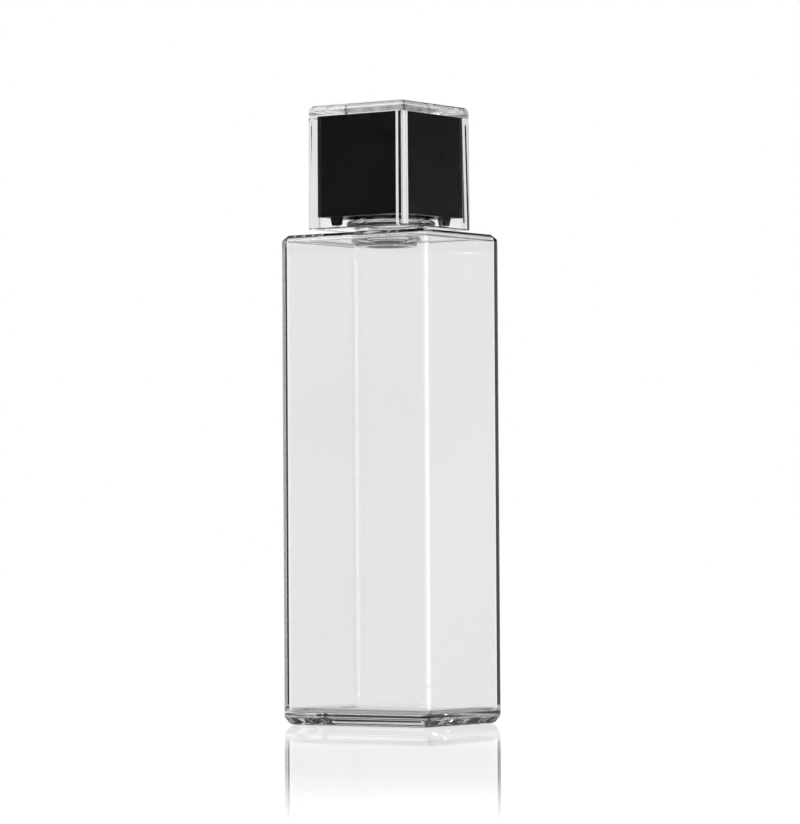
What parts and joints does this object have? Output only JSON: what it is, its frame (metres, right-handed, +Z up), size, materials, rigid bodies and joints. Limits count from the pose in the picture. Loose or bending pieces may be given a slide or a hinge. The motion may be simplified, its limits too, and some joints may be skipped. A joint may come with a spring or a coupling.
{
  "type": "aftershave bottle",
  "caption": "Clear rectangular splash bottle with bevelled heel and shoulder, a short round neck with a pouring insert, and a thick clear square screw cap over a black threaded insert",
  "frame": {"origin": "centre of the base, on the plane the bottle stands on", "axes": "+Z up along the neck; X across the broad faces, Y through the bottle's depth"},
  "size_m": [0.04, 0.0304, 0.1393],
  "materials": {
    "clear_body": "clear, smooth, polished",
    "natural_plastic": "milky moulded polyethylene",
    "foam": "soft closed-cell foam",
    "black_plastic": "black, smooth moulded",
    "clear_cap": "clear, polished acrylic"
  },
  "bodies": {
    "bottle_body": {"bottle": "clear_body", "orifice_reducer": "natural_plastic"},
    "liner_disc": {"liner": "foam"},
    "cap": {"cap_insert": "black_plastic", "cap_shell": "clear_cap"}
  },
  "joints": [
    {"name": "cap_rise", "type": "slide", "parent": "bottle_body", "child": "liner_disc", "axis": [0, 0, 1], "range_m": [0, 0.01627]},
    {"name": "cap_turn", "type": "hinge", "parent": "liner_disc", "child": "cap", "pos_m": [0, 0, 0.12], "axis": [0, 0, 1], "range_deg": [0, 1845]}
  ],
  "couplings": [
    {"joint": "cap_rise", "follows": "cap_turn", "m_per_rad": 0.00050532}
  ]
}
